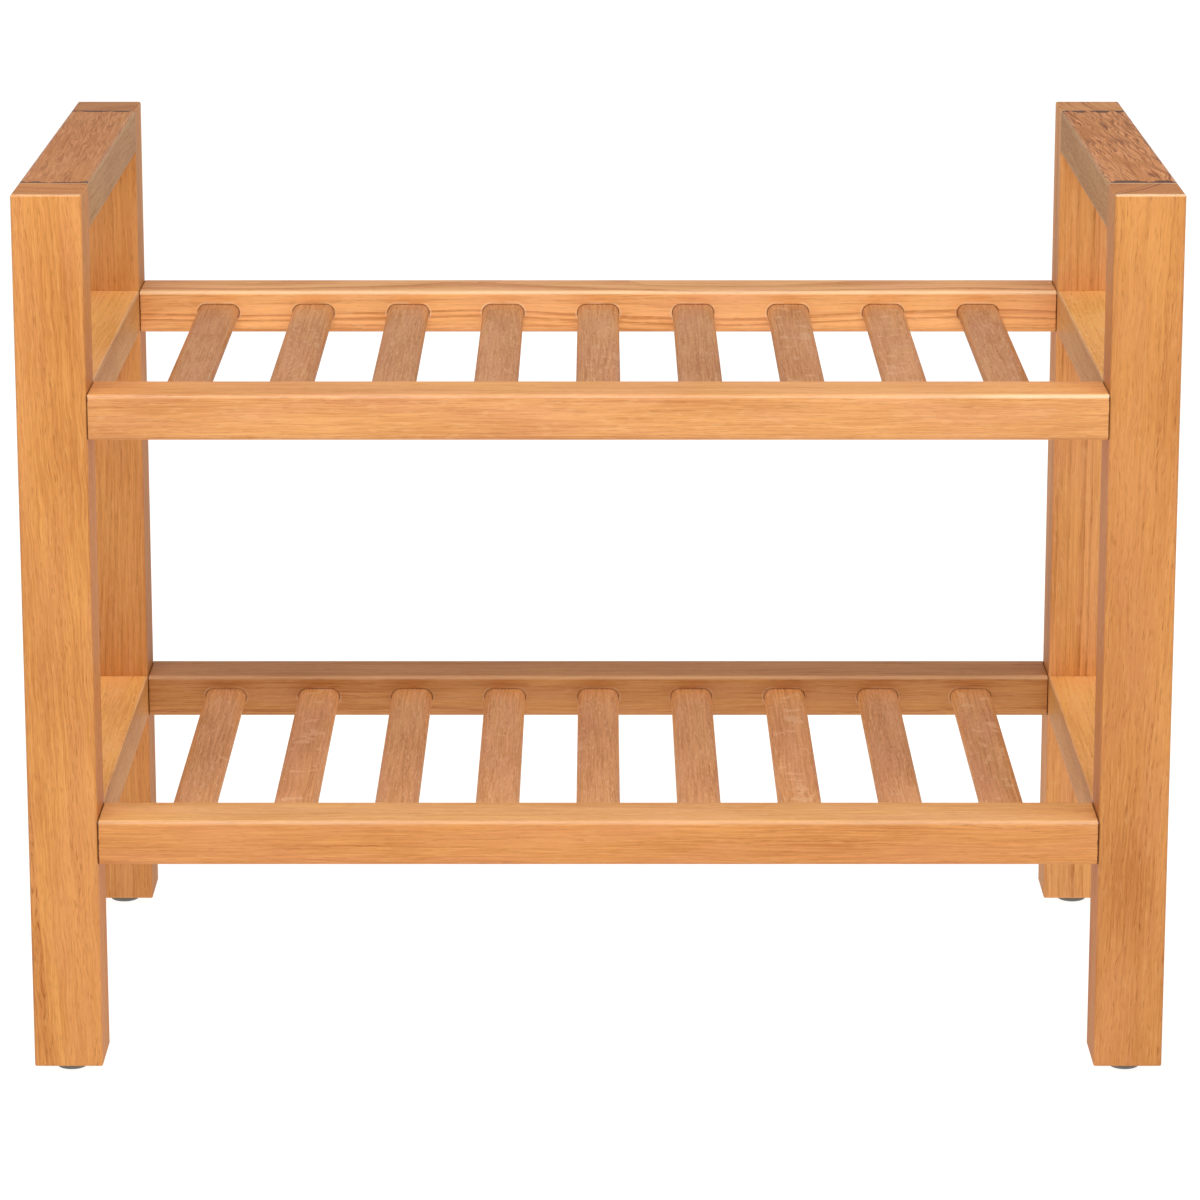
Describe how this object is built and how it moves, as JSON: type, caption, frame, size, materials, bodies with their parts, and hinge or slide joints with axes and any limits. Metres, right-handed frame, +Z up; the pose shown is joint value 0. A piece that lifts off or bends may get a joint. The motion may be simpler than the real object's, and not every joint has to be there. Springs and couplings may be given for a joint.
{
  "type": "entryway bench",
  "caption": "Low oak bench rack with two slatted shelves between square-post side frames whose raised top rails are handles.",
  "frame": {"origin": "on the floor, under the middle of the bench", "axes": "+X to the right along the width, +Y to the back, +Z up; the front faces -Y"},
  "size_m": [0.495, 0.27, 0.392],
  "materials": {
    "post_oak": "satin lacquered oak, grain along the post",
    "handle_oak": "satin lacquered oak with ray fleck, grain along the rail",
    "crossbar_oak": "satin lacquered oak, grain along the bar",
    "rail_oak": "satin lacquered oak, grain along the rail",
    "slat_oak": "satin lacquered oak, grain along the slat",
    "dowel_beech": "bare beech dowel",
    "zinc_steel": "zinc plated steel",
    "nylon": "pale grey translucent nylon"
  },
  "bodies": {
    "root": {"front_left_post": "post_oak", "front_right_post": "post_oak", "back_left_post": "post_oak", "back_right_post": "post_oak", "left_handle_rail": "handle_oak", "right_handle_rail": "handle_oak", "left_upper_crossbar": "crossbar_oak", "left_lower_crossbar": "crossbar_oak", "right_upper_crossbar": "crossbar_oak", "right_lower_crossbar": "crossbar_oak", "upper_front_rail": "rail_oak", "upper_back_rail": "rail_oak", "lower_front_rail": "rail_oak", "lower_back_rail": "rail_oak", "upper_slat_1": "slat_oak", "upper_slat_2": "slat_oak", "upper_slat_3": "slat_oak", "upper_slat_4": "slat_oak", "upper_slat_5": "slat_oak", "upper_slat_6": "slat_oak", "upper_slat_7": "slat_oak", "upper_slat_8": "slat_oak", "upper_slat_9": "slat_oak", "lower_slat_1": "slat_oak", "lower_slat_2": "slat_oak", "lower_slat_3": "slat_oak", "lower_slat_4": "slat_oak", "lower_slat_5": "slat_oak", "lower_slat_6": "slat_oak", "lower_slat_7": "slat_oak", "lower_slat_8": "slat_oak", "lower_slat_9": "slat_oak", "left_frame_dowels": "dowel_beech", "right_frame_dowels": "dowel_beech", "left_locating_pins": "dowel_beech", "right_locating_pins": "dowel_beech", "left_connector_bolts": "zinc_steel", "right_connector_bolts": "zinc_steel", "left_barrel_nuts": "zinc_steel", "right_barrel_nuts": "zinc_steel", "front_left_glide": "nylon", "front_right_glide": "nylon", "back_left_glide": "nylon", "back_right_glide": "nylon", "glide_nails": "zinc_steel"}
  },
  "joints": []
}
